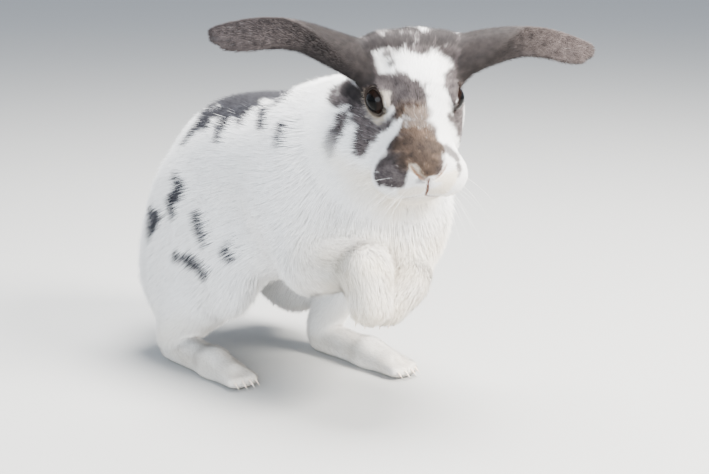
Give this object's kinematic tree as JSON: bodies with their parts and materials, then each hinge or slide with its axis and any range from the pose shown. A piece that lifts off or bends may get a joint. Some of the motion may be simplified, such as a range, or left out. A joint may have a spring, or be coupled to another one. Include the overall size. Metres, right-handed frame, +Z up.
{
  "type": "rabbit",
  "caption": "Life-size still model of a lop-eared rabbit in a slow hop, on its hind feet with the forepaws lifted and the ears held out to the sides.",
  "frame": {"origin": "on the floor, under the middle of the rabbit's bounding box", "axes": "the rabbit faces -Y, its left side is +X, +Z is up"},
  "size_m": [0.2586, 0.3854, 0.2956],
  "materials": {
    "coat": "soft short fur, white with blue-grey markings",
    "ear_coat": "short blue-grey fur",
    "eye": "wet, glossy, nearly black brown",
    "claw": "horn, slightly glossy"
  },
  "bodies": {
    "root": {"head": "coat", "neck": "coat", "trunk": "coat", "tail": "coat", "haunch_left": "coat", "haunch_right": "coat", "hind_shank_left": "coat", "hind_shank_right": "coat", "hind_foot_left": "coat", "hind_foot_right": "coat", "foreleg_left": "coat", "foreleg_right": "coat", "forepaw_left": "coat", "forepaw_right": "coat", "ear_left": "ear_coat", "ear_right": "ear_coat", "eye_left": "eye", "eye_right": "eye", "claw_hind_left_1": "claw", "claw_hind_left_2": "claw", "claw_hind_left_3": "claw", "claw_hind_left_4": "claw", "claw_hind_right_1": "claw", "claw_hind_right_2": "claw", "claw_hind_right_3": "claw", "claw_hind_right_4": "claw", "claw_fore_left_1": "claw", "claw_fore_left_2": "claw", "claw_fore_left_3": "claw", "claw_fore_left_4": "claw", "claw_fore_right_1": "claw", "claw_fore_right_2": "claw", "claw_fore_right_3": "claw", "claw_fore_right_4": "claw", "claw_dew_left": "claw", "claw_dew_right": "claw"}
  },
  "joints": []
}
